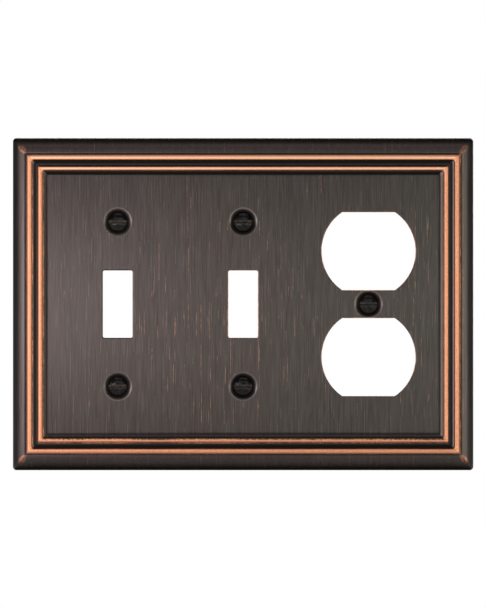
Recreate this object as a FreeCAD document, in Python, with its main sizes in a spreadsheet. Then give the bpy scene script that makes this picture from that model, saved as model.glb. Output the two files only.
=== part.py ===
# A three-gang wall plate cover: two toggle openings and one duplex receptacle opening, cast in
# one piece with a double-bead moulding, and held by five captive oval-head screws.
#
# The plate stands as it does on a wall: X runs to the right, Z is up and the front faces -Y.
# Its rim lies on the wall plane, y = 0, and the origin is the middle of that plane. A "height"
# below is a distance from the wall plane towards the front, so it is -y.
import FreeCAD, Part
import os

import Sketcher
from FreeCAD import Placement, Rotation, Vector

SIZES = [
    # the outline and the band round it, whose front is a quarter-round
    ("plate_width", 169.0),
    ("plate_height", 121.9),
    ("corner_radius", 1.3),
    ("edge_height", 1.0),
    ("band_height", 5.3),
    ("side_band", 4.45),
    ("end_band", 5.52),
    # the two beads and the groove between them, counted inwards from the band
    ("quirk_width", 0.52),
    ("quirk_height", 4.6),
    ("bead_radius", 1.0),
    ("bead_height", 6.7),
    ("bead_spacing", 3.9),
    ("inner_bead_radius", 0.87),
    ("shelf_height", 5.4),
    ("shelf_slope_width", 1.23),
    ("groove_height", 5.0),
    ("flank_width", 1.66),
    # the flat panel and the hollow back
    ("panel_front", 3.9),
    ("panel_back", 2.0),
    ("rim_thickness", 1.8),
    ("channel_inset", 3.4),
    ("channel_width", 6.2),
    ("channel_height", 3.4),
    ("rib_thickness", 1.5),
    ("rib_back", 1.0),
    ("rib_row_height", 42.0),
    ("boss_margin", 0.4),
    # the openings
    ("gang_pitch", 46.04),
    ("toggle_width", 10.9),
    ("toggle_height", 24.7),
    ("toggle_corner", 0.6),
    ("duplex_diameter", 34.5),
    ("duplex_flats", 28.6),
    ("duplex_spacing", 38.9),
    # the screw holes
    ("toggle_screw_spacing", 60.33),
    ("dish_margin", 1.25),
    ("dish_depth", 0.55),
    ("dish_land", 0.1),
    ("countersink_angle", 82.0),
    ("head_gap", 0.35),
    ("hole_gap", 0.2),
    ("hole_land", 0.2),
    # the screws, No. 6-32 by half an inch, slotted oval head
    ("thread_diameter", 3.505),
    ("neck_diameter", 3.0),
    ("screw_length", 12.7),
    ("head_diameter", 7.0),
    ("head_land", 0.2),
    ("dome_height", 1.05),
    ("slot_width", 1.15),
    ("slot_depth", 1.5),
    ("tip_chamfer", 0.6),
    ("seat_gap", 0.05),
    # the retaining washers
    ("washer_diameter", 7.6),
    ("washer_thickness", 0.5),
    ("washer_gap", 0.1),
    ("washer_hole_gap", 0.05),
    # how far a cut runs past the metal that it takes away
    ("cut_margin", 1.0),
]

# the screws, each with where its axis stands, as (x, z)
SCREWS = {
    "toggle_1_upper": ("-Sizes.gang_pitch", "Sizes.toggle_screw_spacing / 2"),
    "toggle_1_lower": ("-Sizes.gang_pitch", "-Sizes.toggle_screw_spacing / 2"),
    "toggle_2_upper": ("0", "Sizes.toggle_screw_spacing / 2"),
    "toggle_2_lower": ("0", "-Sizes.toggle_screw_spacing / 2"),
    "duplex": ("Sizes.gang_pitch", "0"),
}

# places worked out from the sizes, each written once as an expression
HALF_WIDTH = "Sizes.plate_width / 2"
HALF_HEIGHT = "Sizes.plate_height / 2"
BAND_RISE = "(Sizes.band_height - Sizes.edge_height)"
BEAD_AXIS = "(Sizes.quirk_width + Sizes.bead_radius)"
BEAD_END = "(Sizes.quirk_width + 2 * Sizes.bead_radius)"
INNER_BEAD_AXIS = f"({BEAD_AXIS} + Sizes.bead_spacing)"
INNER_BEAD_START = f"({INNER_BEAD_AXIS} - Sizes.inner_bead_radius)"
INNER_BEAD_END = f"({INNER_BEAD_AXIS} + Sizes.inner_bead_radius)"
BEAD_ROOT = "((Sizes.panel_front + Sizes.panel_back) / 2)"
HOLE = "(Sizes.thread_diameter + 2 * Sizes.hole_gap)"
COUNTERSINK = "(Sizes.head_diameter + 2 * Sizes.head_gap)"
DISH = f"({COUNTERSINK} + 2 * Sizes.dish_margin)"
DISH_BOTTOM = "(Sizes.panel_front - Sizes.dish_depth)"
DISH_SLOPE = "atan((Sizes.dish_margin - Sizes.dish_land) / Sizes.dish_depth)"
CONE_SLOPE = "tan(Sizes.countersink_angle / 2)"
CONE_DEPTH = f"(({COUNTERSINK} - {HOLE}) / 2 / {CONE_SLOPE})"
BOSS = "(Sizes.washer_diameter + 2 * Sizes.boss_margin)"
BOSS_BACK = f"({DISH_BOTTOM} - {CONE_DEPTH} - Sizes.hole_land)"
HEAD_RIM = f"({DISH_BOTTOM} + Sizes.seat_gap - Sizes.head_gap / {CONE_SLOPE})"
NECK_FRONT = f"({HEAD_RIM} - (Sizes.head_diameter - Sizes.neck_diameter) / 2 / {CONE_SLOPE})"
DOME_FOOT = f"({HEAD_RIM} + Sizes.head_land)"
HEAD_TOP = f"({DOME_FOOT} + Sizes.dome_height)"
SCREW_TIP = f"({HEAD_RIM} - Sizes.screw_length)"
WASHER_BACK = f"({BOSS_BACK} - Sizes.washer_gap - Sizes.washer_thickness)"
THREAD_FRONT = f"({WASHER_BACK} - Sizes.washer_gap)"
WASHER_HOLE = "(Sizes.thread_diameter + 2 * Sizes.washer_hole_gap)"

doc = FreeCAD.newDocument("wall_plate_cover")
sheet = doc.addObject("Spreadsheet::Sheet", "Sizes")
for row, (name, size) in enumerate(SIZES, start=1):
    sheet.set(f"A{row}", name)
    sheet.set(f"B{row}", str(size))
    sheet.setAlias(f"B{row}", name)
doc.recompute()


def number(expression):
    """What an expression comes to now, as a plain number."""
    value = sheet.evalExpression(expression)
    return float(getattr(value, "Value", value))


def new_sketch(body, role, name, height=None):
    """A sketch on one of the body's own origin planes, moved forward to a height if one is given."""
    sketch = body.newObject("Sketcher::SketchObject", name)
    plane = [feature for feature in body.Origin.OriginFeatures if feature.Role == role][0]
    sketch.AttachmentSupport = [(plane, "")]
    sketch.MapMode = "FlatFace"
    if height is not None:
        sketch.setExpression("AttachmentOffset.Base.z", height)
    return sketch


def fix(sketch, kind, geometry, point, expression):
    """Holds one coordinate of a point, or one radius, at what an expression says."""
    value = number(expression)
    if kind in ("Radius", "Diameter"):
        index = sketch.addConstraint(Sketcher.Constraint(kind, geometry, value))
    else:
        index = sketch.addConstraint(Sketcher.Constraint(kind, -1, 1, geometry, point, value))
    if "Sizes." in expression:
        name = f"fixed_{index}"
        sketch.renameConstraint(index, name)
        sketch.setExpression(f"Constraints.{name}", expression)


def add_circle(sketch, x, y, diameter):
    centre = Vector(number(x), number(y), 0)
    circle = Part.Circle(centre, Vector(0, 0, 1), number(diameter) / 2)
    geometry = sketch.addGeometry(circle, False)
    fix(sketch, "DistanceX", geometry, 3, x)
    fix(sketch, "DistanceY", geometry, 3, y)
    fix(sketch, "Diameter", geometry, None, diameter)


def arc_between(start, end, centre, turn):
    """The arc from start to end round a centre; turn is 1 anticlockwise and -1 clockwise."""
    middle = (start + end) / 2 - centre
    if middle.Length < 1e-6:
        chord = end - start
        middle = Vector(chord.y, -chord.x, 0) * turn
    radius = (start - centre).Length
    return Part.Arc(start, centre + middle.normalize() * radius, end)


def add_outline(sketch, corners, closed=True):
    """Lines and arcs through the corners in turn.

    A corner is (x, y), or (x, y, centre x, centre y, turn) where an arc leads on from it.
    """
    points = [Vector(number(corner[0]), number(corner[1]), 0) for corner in corners]
    count = len(corners) if closed else len(corners) - 1
    for i in range(count):
        corner, start, end = corners[i], points[i], points[(i + 1) % len(points)]
        if len(corner) == 2:
            geometry = sketch.addGeometry(Part.LineSegment(start, end), False)
            first, last = 1, 2
        else:
            centre = Vector(number(corner[2]), number(corner[3]), 0)
            geometry = sketch.addGeometry(arc_between(start, end, centre, corner[4]), False)
            # a sketch keeps every arc anticlockwise, so a clockwise one starts at its last point
            first, last = (1, 2) if corner[4] > 0 else (2, 1)
            chord = end - start
            if abs(chord.y) > abs(chord.x):
                fix(sketch, "DistanceX", geometry, 3, corner[2])
            else:
                fix(sketch, "DistanceY", geometry, 3, corner[3])
        fix(sketch, "DistanceX", geometry, first, corner[0])
        fix(sketch, "DistanceY", geometry, first, corner[1])
        if i > 0:
            link = Sketcher.Constraint("Coincident", previous[0], previous[1], geometry, first)
            sketch.addConstraint(link)
        else:
            opening = (geometry, first)
        previous = (geometry, last)
    if closed:
        sketch.addConstraint(Sketcher.Constraint("Coincident", *previous, *opening))
    else:
        fix(sketch, "DistanceX", *previous, corners[-1][0])
        fix(sketch, "DistanceY", *previous, corners[-1][1])


def add_rectangle(sketch, half_width, half_height, x="0", y="0", radius=None):
    """A rectangle about (x, y), with round corners if a radius is given."""
    left, right = f"{x} - {half_width}", f"{x} + {half_width}"
    low, high = f"{y} - {half_height}", f"{y} + {half_height}"
    if radius is None:
        corners = [(left, low), (right, low), (right, high), (left, high)]
    else:
        corners = [
            (f"{left} + {radius}", low),
            (f"{right} - {radius}", low, f"{right} - {radius}", f"{low} + {radius}", 1),
            (right, f"{low} + {radius}"),
            (right, f"{high} - {radius}", f"{right} - {radius}", f"{high} - {radius}", 1),
            (f"{right} - {radius}", high),
            (f"{left} + {radius}", high, f"{left} + {radius}", f"{high} - {radius}", 1),
            (left, f"{high} - {radius}"),
            (left, f"{low} + {radius}", f"{left} + {radius}", f"{low} + {radius}", 1),
        ]
    add_outline(sketch, corners)


def pad(body, sketch, name, length, backwards=False):
    feature = body.newObject("PartDesign::Pad", name)
    feature.Profile = sketch
    feature.Reversed = backwards
    feature.setExpression("Length", length)
    return feature


def pocket(body, sketch, name, depth=None, forwards=False, taper=None):
    """A pocket to a depth, or right through where no depth is given."""
    feature = body.newObject("PartDesign::Pocket", name)
    feature.Profile = sketch
    feature.Reversed = forwards
    if depth is None:
        feature.Type = "ThroughAll"
    else:
        feature.setExpression("Length", depth)
    if taper is not None:
        feature.setExpression("TaperAngle", taper)
    return feature


def pocket_along(body, sketch, name):
    """A pocket right through the body, both ways from the sketch."""
    feature = body.newObject("PartDesign::Pocket", name)
    feature.Profile = sketch
    feature.SideType = "Symmetric"
    feature.Type = "ThroughAll"
    return feature


def quarter_round(sketch, half_size, band, side, upright):
    """The waste outside one edge's quarter-round, which ends level at the band's full height."""
    radius = f"(({band})^2 + {BAND_RISE}^2) / (2 * {BAND_RISE})"
    edge = f"{side} * {half_size}"
    inner = f"{side} * ({half_size} - {band})"
    waste = f"{side} * ({half_size} + Sizes.cut_margin)"
    low, high = "-Sizes.edge_height", "-Sizes.band_height"
    centre = f"-Sizes.band_height + {radius}"
    beyond = "-Sizes.band_height - Sizes.cut_margin"
    turn = -side if upright else side
    if upright:
        corners = [
            (edge, low, inner, centre, turn),
            (inner, high),
            (inner, beyond),
            (waste, beyond),
            (waste, low),
        ]
    else:
        corners = [
            (low, edge, centre, inner, turn),
            (high, inner),
            (beyond, inner),
            (beyond, waste),
            (low, waste),
        ]
    add_outline(sketch, corners)


def moulding_profile(sketch):
    """Both beads, the groove between them and the slope down to the panel, cut at the left edge."""
    start = f"-{HALF_WIDTH} + Sizes.side_band"

    def at(inwards, height):
        return (f"{start} + {inwards}", f"-{height}")

    def over(inwards, height, centre):
        return (*at(inwards, height), *at(centre, height), 1)

    bead_foot = "(Sizes.bead_height - Sizes.bead_radius)"
    into_band = "(-Sizes.side_band / 4)"
    add_outline(
        sketch,
        [
            at(into_band, BEAD_ROOT),
            at(into_band, "Sizes.quirk_height"),
            at("Sizes.quirk_width", "Sizes.quirk_height"),
            over("Sizes.quirk_width", bead_foot, BEAD_AXIS),
            at(BEAD_END, bead_foot),
            at(BEAD_END, "Sizes.shelf_height"),
            at(f"({BEAD_END} + Sizes.shelf_slope_width)", "Sizes.groove_height"),
            over(INNER_BEAD_START, "Sizes.groove_height", INNER_BEAD_AXIS),
            at(INNER_BEAD_END, "Sizes.groove_height"),
            at(f"({INNER_BEAD_END} + Sizes.flank_width)", "Sizes.panel_front"),
            at(f"({INNER_BEAD_END} + Sizes.flank_width)", BEAD_ROOT),
        ],
    )


def moulding_path(sketch):
    """The rectangle that the beads follow, from the middle of the left side round to it again."""
    x = f"({HALF_WIDTH} - Sizes.side_band - {BEAD_AXIS})"
    z = f"({HALF_HEIGHT} - Sizes.end_band - {BEAD_AXIS})"
    add_outline(
        sketch,
        [(f"-{x}", "0"), (f"-{x}", z), (x, z), (x, f"-{z}"), (f"-{x}", f"-{z}")],
    )


def duplex_opening(sketch, z):
    """A circle with a flat above and a flat below."""
    half_flats = "Sizes.duplex_flats / 2"
    half_chord = "sqrt((Sizes.duplex_diameter / 2)^2 - (Sizes.duplex_flats / 2)^2)"
    x = "Sizes.gang_pitch"
    low, high = f"{z} - {half_flats}", f"{z} + {half_flats}"
    add_outline(
        sketch,
        [
            (f"{x} - {half_chord}", low),
            (f"{x} + {half_chord}", low, x, z, 1),
            (f"{x} + {half_chord}", high),
            (f"{x} - {half_chord}", high, x, z, 1),
        ],
    )


def circles_at_screws(body, name, height, diameter):
    sketch = new_sketch(body, "XZ_Plane", name, height)
    for x, z in SCREWS.values():
        add_circle(sketch, x, z, diameter)
    return sketch


def build_plate():
    """The casting: band, beads, panel, hollow back, openings and screw holes."""
    body = doc.addObject("PartDesign::Body", "wall_plate")
    outline = new_sketch(body, "XZ_Plane", "outline")
    add_rectangle(outline, HALF_WIDTH, HALF_HEIGHT, radius="Sizes.corner_radius")
    pad(body, outline, "block", "Sizes.band_height")

    sides = new_sketch(body, "XY_Plane", "side_edges")
    ends = new_sketch(body, "YZ_Plane", "end_edges")
    for side in (-1, 1):
        quarter_round(sides, HALF_WIDTH, "Sizes.side_band", side, upright=True)
        quarter_round(ends, HALF_HEIGHT, "Sizes.end_band", side, upright=False)
    pocket_along(body, sides, "side_rounds")
    pocket_along(body, ends, "end_rounds")

    field = new_sketch(body, "XZ_Plane", "field", "Sizes.band_height")
    add_rectangle(
        field, f"({HALF_WIDTH} - Sizes.side_band)", f"({HALF_HEIGHT} - Sizes.end_band)"
    )
    pocket(body, field, "panel", "Sizes.band_height - Sizes.panel_front")

    path = new_sketch(body, "XZ_Plane", "moulding_path")
    moulding_path(path)
    profile = new_sketch(body, "XY_Plane", "moulding_profile")
    moulding_profile(profile)
    beads = body.newObject("PartDesign::AdditivePipe", "beads")
    beads.Profile = profile
    beads.Spine = (path, [""])
    beads.Transition = "Right corner"

    hollow = new_sketch(body, "XZ_Plane", "hollow")
    add_rectangle(
        hollow, f"({HALF_WIDTH} - Sizes.rim_thickness)", f"({HALF_HEIGHT} - Sizes.rim_thickness)"
    )
    pocket(body, hollow, "hollow_back", "Sizes.panel_back", forwards=True)
    channel = new_sketch(body, "XZ_Plane", "channel")
    wider = "(Sizes.end_band - Sizes.side_band)"
    for inset in ("Sizes.channel_inset", "(Sizes.channel_inset + Sizes.channel_width)"):
        add_rectangle(
            channel, f"({HALF_WIDTH} - {inset})", f"({HALF_HEIGHT} - {wider} - {inset})"
        )
    pocket(body, channel, "channel_behind_beads", "Sizes.channel_height", forwards=True)

    upright = new_sketch(body, "XZ_Plane", "upright_ribs", "Sizes.channel_height")
    level = new_sketch(body, "XZ_Plane", "level_ribs", "Sizes.channel_height")
    half_rib = "Sizes.rib_thickness / 2"
    for side in (-1, 1):
        add_rectangle(
            upright,
            half_rib,
            f"({HALF_HEIGHT} - Sizes.rim_thickness / 2)",
            x=f"{side} * Sizes.gang_pitch / 2",
        )
        add_rectangle(
            level,
            f"({HALF_WIDTH} - Sizes.rim_thickness / 2)",
            half_rib,
            y=f"{side} * Sizes.rib_row_height",
        )
    rib_depth = "Sizes.channel_height - Sizes.rib_back"
    pad(body, upright, "ribs_upright", rib_depth, backwards=True)
    pad(body, level, "ribs_level", rib_depth, backwards=True)
    bosses = circles_at_screws(body, "bosses", "Sizes.panel_back", BOSS)
    pad(body, bosses, "screw_bosses", f"Sizes.panel_back - {BOSS_BACK}", backwards=True)

    toggles = new_sketch(body, "XZ_Plane", "toggles")
    for x in ("-Sizes.gang_pitch", "0"):
        add_rectangle(
            toggles,
            "Sizes.toggle_width / 2",
            "Sizes.toggle_height / 2",
            x=x,
            radius="Sizes.toggle_corner",
        )
    pocket(body, toggles, "toggle_openings", forwards=True)
    duplex = new_sketch(body, "XZ_Plane", "duplex")
    for side in (-1, 1):
        duplex_opening(duplex, f"{side} * Sizes.duplex_spacing / 2")
    pocket(body, duplex, "duplex_openings", forwards=True)

    dishes = circles_at_screws(body, "dishes", "Sizes.panel_front", DISH)
    pocket(body, dishes, "dished_recesses", "Sizes.dish_depth", taper=f"-{DISH_SLOPE}")
    cones = circles_at_screws(body, "cones", DISH_BOTTOM, COUNTERSINK)
    pocket(body, cones, "countersinks", CONE_DEPTH, taper="-Sizes.countersink_angle / 2")
    holes = circles_at_screws(body, "holes", "Sizes.panel_front", HOLE)
    pocket(body, holes, "screw_holes")


def move_to_screw(body, name):
    x, z = SCREWS[name]
    body.Placement = Placement(Vector(number(x), 0, number(z)), Rotation())
    body.setExpression("Placement.Base.x", x)
    body.setExpression("Placement.Base.z", z)


def build_screw(name):
    """An oval-head screw about the Y axis: domed slotted head, cone, short neck and thread."""
    body = doc.addObject("PartDesign::Body", f"screw_{name}")
    half = new_sketch(body, "XY_Plane", f"turning_{name}")
    head, neck, thread = (
        "Sizes.head_diameter / 2",
        "Sizes.neck_diameter / 2",
        "Sizes.thread_diameter / 2",
    )
    tip = f"({thread} - Sizes.tip_chamfer / 2)"
    dome_radius = f"(({head})^2 + Sizes.dome_height^2) / (2 * Sizes.dome_height)"
    add_outline(
        half,
        [
            ("0", f"-{SCREW_TIP}"),
            ("0", f"-{HEAD_TOP}", "0", f"-{HEAD_TOP} + {dome_radius}", 1),
            (head, f"-{DOME_FOOT}"),
            (head, f"-{HEAD_RIM}"),
            (neck, f"-{NECK_FRONT}"),
            (neck, f"-{THREAD_FRONT}"),
            (thread, f"-{THREAD_FRONT}"),
            (thread, f"-{SCREW_TIP} - Sizes.tip_chamfer"),
            (tip, f"-{SCREW_TIP}"),
        ],
    )
    turned = body.newObject("PartDesign::Revolution", f"turned_{name}")
    turned.Profile = half
    turned.ReferenceAxis = (half, ["V_Axis"])
    turned.Angle = 360
    slot = new_sketch(body, "XZ_Plane", f"slot_outline_{name}", HEAD_TOP)
    add_rectangle(slot, "Sizes.head_diameter", "Sizes.slot_width / 2")
    pocket(body, slot, f"slot_{name}", "Sizes.slot_depth")
    move_to_screw(body, name)


def build_washer(name):
    """A flat ring behind the screw's boss, which the thread can pass through."""
    body = doc.addObject("PartDesign::Body", f"washer_{name}")
    ring = new_sketch(body, "XZ_Plane", f"ring_{name}", WASHER_BACK)
    add_circle(ring, "0", "0", "Sizes.washer_diameter")
    add_circle(ring, "0", "0", WASHER_HOLE)
    pad(body, ring, f"pressed_{name}", "Sizes.washer_thickness")
    move_to_screw(body, name)


def check(bodies):
    """Stops if any object failed or any sub-part is not one sound solid."""
    for item in doc.Objects:
        if any(word in item.State for word in ("Invalid", "Error")):
            raise RuntimeError(f"{item.Name} failed: {item.State}")
    for body in bodies:
        shape = body.Shape
        if shape.isNull() or not shape.isValid() or len(shape.Solids) != 1:
            raise RuntimeError(f"{body.Label} is not one sound solid")
        print(f"{body.Label}: {shape.Volume:.1f} mm3")


build_plate()
for screw in SCREWS:
    build_screw(screw)
    build_washer(screw)
doc.recompute()
sub_parts = [item for item in doc.Objects if item.TypeId == "PartDesign::Body"]
check(sub_parts)
os.makedirs("parts", exist_ok=True)
for sub_part in sub_parts:
    sub_part.Shape.exportStep(f"parts/{sub_part.Label}.step")
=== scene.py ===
import math
import random

import bmesh
import bpy
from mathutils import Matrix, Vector
from mathutils.geometry import delaunay_2d_cdt


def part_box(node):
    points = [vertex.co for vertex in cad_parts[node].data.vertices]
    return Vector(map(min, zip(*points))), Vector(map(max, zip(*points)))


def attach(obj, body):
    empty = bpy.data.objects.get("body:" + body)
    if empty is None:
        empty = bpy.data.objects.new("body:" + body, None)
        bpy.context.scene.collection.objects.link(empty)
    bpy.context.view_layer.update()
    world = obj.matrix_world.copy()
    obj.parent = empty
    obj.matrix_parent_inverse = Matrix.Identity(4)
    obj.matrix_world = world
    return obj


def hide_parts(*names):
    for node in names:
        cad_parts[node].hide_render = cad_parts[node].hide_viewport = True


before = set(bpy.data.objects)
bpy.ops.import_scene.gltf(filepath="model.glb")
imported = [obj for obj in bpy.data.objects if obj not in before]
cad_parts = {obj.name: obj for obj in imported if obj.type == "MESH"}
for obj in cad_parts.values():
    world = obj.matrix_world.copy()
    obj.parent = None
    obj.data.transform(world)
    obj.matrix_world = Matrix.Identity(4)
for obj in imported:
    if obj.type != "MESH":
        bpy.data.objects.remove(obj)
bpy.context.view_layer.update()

MM = 0.001
SAME_PLACE = 0.002 * MM
PLATE_LOW, PLATE_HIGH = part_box("wall_plate")
HALF_X = PLATE_HIGH.x / MM
HALF_Z = PLATE_HIGH.z / MM

# the band round the outline, and the profile inwards from it
EDGE_RADIUS = 1.3
EDGE_HEIGHT = 1.0
BAND_HEIGHT = 5.3
SIDE_BAND = 4.45
END_BAND = 5.52
PANEL_FRONT = 3.9
# a bead's centre inside the band, the height of its centre, and its radius
BEAD = (1.52, 5.7, 1.0)
INNER_BEAD = (5.47, 5.0, 0.9)

# the hollow back
PANEL_BACK = 2.0
RIM = 1.8
CHANNEL_INSET = 3.4
CHANNEL_WIDTH = 6.2
CHANNEL_HEIGHT = 3.4
RIB_HALF = 0.75
RIB_BACK = 1.0
RIB_X = 23.02
RIB_Z = 42.0
BOSS_RADIUS = 4.2
BOSS_BACK = 0.967

# the openings: GANG is the distance between two devices, TOGGLE half a width, half a height and
# a corner radius
GANG = 46.04
TOGGLE = (5.45, 12.35, 0.6)
EDGE_ROUNDING = 0.3
DUPLEX_RADIUS = 17.25
DUPLEX_FLAT = 14.3
DUPLEX_Z = 19.45

# the screws and their seats
SEAT_RADIUS = 3.85
DISH_RADIUS = 5.2
SEAT_HEIGHT = 3.35
HOLE_RADIUS = 1.9525
HOLE_HEIGHT = 1.167
HEAD_RADIUS = 3.5
HEAD_RIM = 2.997
HEAD_LAND = 0.2
DOME = 1.05
SLOT_HALF = 0.575
SLOT_WALL = 0.015
SLOT_FLOOR = 2.747
NECK_RADIUS = 1.5
NECK_FRONT = 0.697
THREAD_FRONT = 0.267
THREAD_RADIUS = 1.7525
THREAD_ROOT = 1.27
PITCH = 0.79375
TIP = -9.703
TIP_CHAMFER = 0.6
CONE = math.tan(math.radians(41))
WASHER_BORE = 1.8025

SCREWS = ("toggle_1_upper", "toggle_1_lower", "toggle_2_upper", "toggle_2_lower", "duplex")

# rows across the mouldings: how far inside the band, height, corner radius, wear and darkness
QUIRK = (
    (-0.08, BAND_HEIGHT - 0.004, 0.2, 0, 0),
    (0.0, BAND_HEIGHT - 0.05, 0.2, 0.1, 0),
    (0.05, 5.2, 0.2, 0.2, 0),
    (0.14, 5.08, 0.2, 0.3, 0),
    (0.28, 5.04, 0.2, 0.45, 0),
    (0.42, 5.1, 0.2, 0.55, 0),
    (0.5, 5.28, 0.2, 0.65, 0),
)
SHELF = (
    (2.54, 5.55, 1.0, 0.7, 0),
    (2.62, 5.42, 1.0, 0.62, 0),
    (2.85, 5.3, 0.9, 0.5, 0.1),
    (3.2, 5.17, 0.8, 0.2, 0.6),
    (3.6, 5.05, 0.7, 0, 0.8),
    (3.82, 5.0, 0.6, 0, 0.8),
    (4.1, 4.99, 0.5, 0, 0.5),
    (4.42, 4.99, 0.45, 0, 0.6),
    (4.54, 5.03, 0.4, 0, 0.8),
)
SLOPE = (
    (6.4, 5.0, 0.9, 0.8, 0),
    (6.54, 4.84, 0.85, 0.7, 0),
    (6.9, 4.52, 0.7, 0.5, 0),
    (7.3, 4.24, 0.7, 0.25, 0.2),
    (7.65, 4.02, 0.55, 0, 0.6),
    (7.9, 3.93, 0.5, 0, 0.7),
    (8.08, 3.9, 0.5, 0, 0.3),
    (8.5, 3.9, 0.5, 0, 0),
)


def middle(node):
    """The x and z of a node's middle."""
    low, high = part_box(node)
    return (low.x + high.x) / 2 / MM, (low.z + high.z) / 2 / MM


CENTRES = {name: middle(f"screw_{name}") for name in SCREWS}


def smooth(value, low=0.0, high=1.0):
    """0 below low, 1 above high and an S-curve between them."""
    t = min(1.0, max(0.0, (value - low) / (high - low)))
    return t * t * (3 - 2 * t)


# ---------------------------------------------------------------- outlines


def rounded_box(half_x, half_z, radius, x=0.0, z=0.0, runs=(66, 48), arc=6):
    """Points anticlockwise round a rectangle with round corners: always the same number."""
    points = []
    for sx, sz, start in ((1, -1, -90), (1, 1, 0), (-1, 1, 90), (-1, -1, 180)):
        cx, cz = sx * (half_x - radius), sz * (half_z - radius)
        corner = []
        for i in range(arc + 1):
            angle = math.radians(start + 90 * i / arc)
            corner.append((cx + radius * math.cos(angle), cz + radius * math.sin(angle)))
        if points:
            points += between(points[-1], corner[0], run)
        points += corner
        run = runs[1] if sx * sz < 0 else runs[0]
    points += between(points[-1], points[0], runs[0])
    return [(px + x, pz + z) for px, pz in points]


def between(start, end, count):
    """The points that divide a straight run into count parts, without its ends."""
    (ax, az), (bx, bz) = start, end
    return [(ax + (bx - ax) * i / count, az + (bz - az) * i / count) for i in range(1, count)]


def circle(x, z, radius, count=48):
    """Points anticlockwise round a circle."""
    turns = [2 * math.pi * i / count for i in range(count)]
    return [(x + radius * math.cos(a), z + radius * math.sin(a)) for a in turns]


def duplex_outline(z, grow=0.0):
    """A circle with a flat above and a flat below, moved outwards by grow."""
    radius, flat = DUPLEX_RADIUS + grow, DUPLEX_FLAT + grow
    half = math.asin(flat / radius)
    right = [radius_point(radius, -half + 2 * half * i / 28) for i in range(29)]
    left = [(-px, -pz) for px, pz in right]
    points = right + between(right[-1], left[0], 14) + left + between(left[-1], right[0], 14)
    return [(px + GANG, pz + z) for px, pz in points]


def radius_point(radius, angle):
    """The point at an angle on a circle round the origin."""
    return radius * math.cos(angle), radius * math.sin(angle)


def toggle_outline(x, grow=0.0):
    half_x, half_z, radius = TOGGLE
    return rounded_box(half_x + grow, half_z + grow, radius + grow, x, 0, (6, 14), 4)


def opening_outlines(grow=0.0):
    """The two toggle openings and the two duplex openings, moved outwards by grow."""
    return [
        toggle_outline(-GANG, grow),
        toggle_outline(0, grow),
        duplex_outline(DUPLEX_Z, grow),
        duplex_outline(-DUPLEX_Z, grow),
    ]


def opening_distance(x, z):
    """How far a point is outside the nearest opening; it is negative inside one."""
    best = 1e9
    half_x, half_z, radius = TOGGLE
    for cx in (-GANG, 0):
        dx, dz = abs(x - cx) - half_x + radius, abs(z) - half_z + radius
        outside = math.hypot(max(dx, 0), max(dz, 0)) + min(max(dx, dz), 0) - radius
        best = min(best, outside)
    dx, dz = abs(x - GANG), abs(abs(z) - DUPLEX_Z)
    half_chord = math.sqrt(DUPLEX_RADIUS**2 - DUPLEX_FLAT**2)
    if dx < half_chord or dz < DUPLEX_FLAT:
        outside = max(math.hypot(dx, dz) - DUPLEX_RADIUS, dz - DUPLEX_FLAT)
    else:
        outside = math.hypot(dx - half_chord, dz - DUPLEX_FLAT)
    return min(best, outside)


def screw_distance(x, z):
    """How far a point is from the nearest screw's axis."""
    return min(math.hypot(x - cx, z - cz) for cx, cz in CENTRES.values())


# ---------------------------------------------------------------- meshes


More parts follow.
